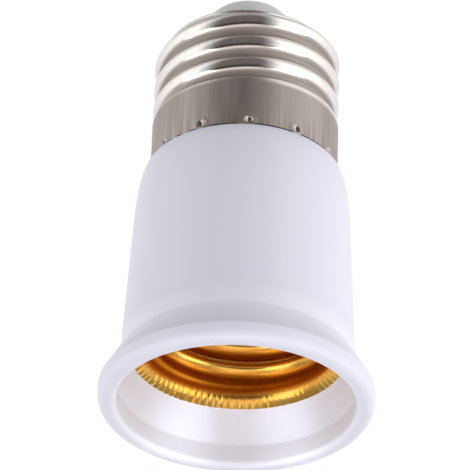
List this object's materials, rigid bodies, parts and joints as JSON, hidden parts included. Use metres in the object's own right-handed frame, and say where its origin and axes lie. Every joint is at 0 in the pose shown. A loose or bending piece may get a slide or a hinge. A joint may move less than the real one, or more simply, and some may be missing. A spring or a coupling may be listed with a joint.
{
  "type": "lamp socket adapter",
  "caption": "White bell-shaped lamp socket adapter: a nickel-plated E27 screw base on top and a brass E27 lamp socket in the flared mouth below.",
  "frame": {"origin": "centre of the mouth rim, in the plane that the rim stands on", "axes": "+Z along the axis from the mouth up to the tip of the screw base; -Y is the side the picture looks at"},
  "size_m": [0.038, 0.038, 0.0657],
  "materials": {
    "white_plastic": "moulded white thermoplastic, satin gloss",
    "nickel_plate": "nickel plating on rolled steel sheet",
    "brass_sheet": "bright rolled brass sheet",
    "pale_insulator": "pale moulded insulator",
    "tinned_brass": "tinned brass",
    "spring_bronze": "spring bronze strip",
    "rivet_brass": "brass rivet",
    "copper_wire": "bare copper wire",
    "brown_jacket": "brown wire insulation",
    "blue_jacket": "blue wire insulation",
    "solder": "soft solder"
  },
  "bodies": {
    "adapter": {"housing": "white_plastic", "screw_shell": "nickel_plate", "socket_shell": "brass_sheet", "tip_insulator": "pale_insulator", "tip_contact": "tinned_brass", "shell_rivets": "rivet_brass", "leaf_rivet": "rivet_brass", "live_tag": "tinned_brass", "neutral_tag": "tinned_brass", "live_core": "copper_wire", "live_jacket": "brown_jacket", "neutral_core": "copper_wire", "neutral_jacket": "blue_jacket", "solder_joints": "solder"},
    "contact_strip": {"centre_leaf": "spring_bronze"}
  },
  "joints": [
    {"name": "strip_flex", "type": "hinge", "parent": "adapter", "child": "contact_strip", "pos_m": [0, 0.00368, 0.03085], "axis": [-1, 0, 0], "range_deg": [0, 12], "stiffness_Nm_per_rad": 0.3, "deforming": ["centre_leaf"]}
  ]
}
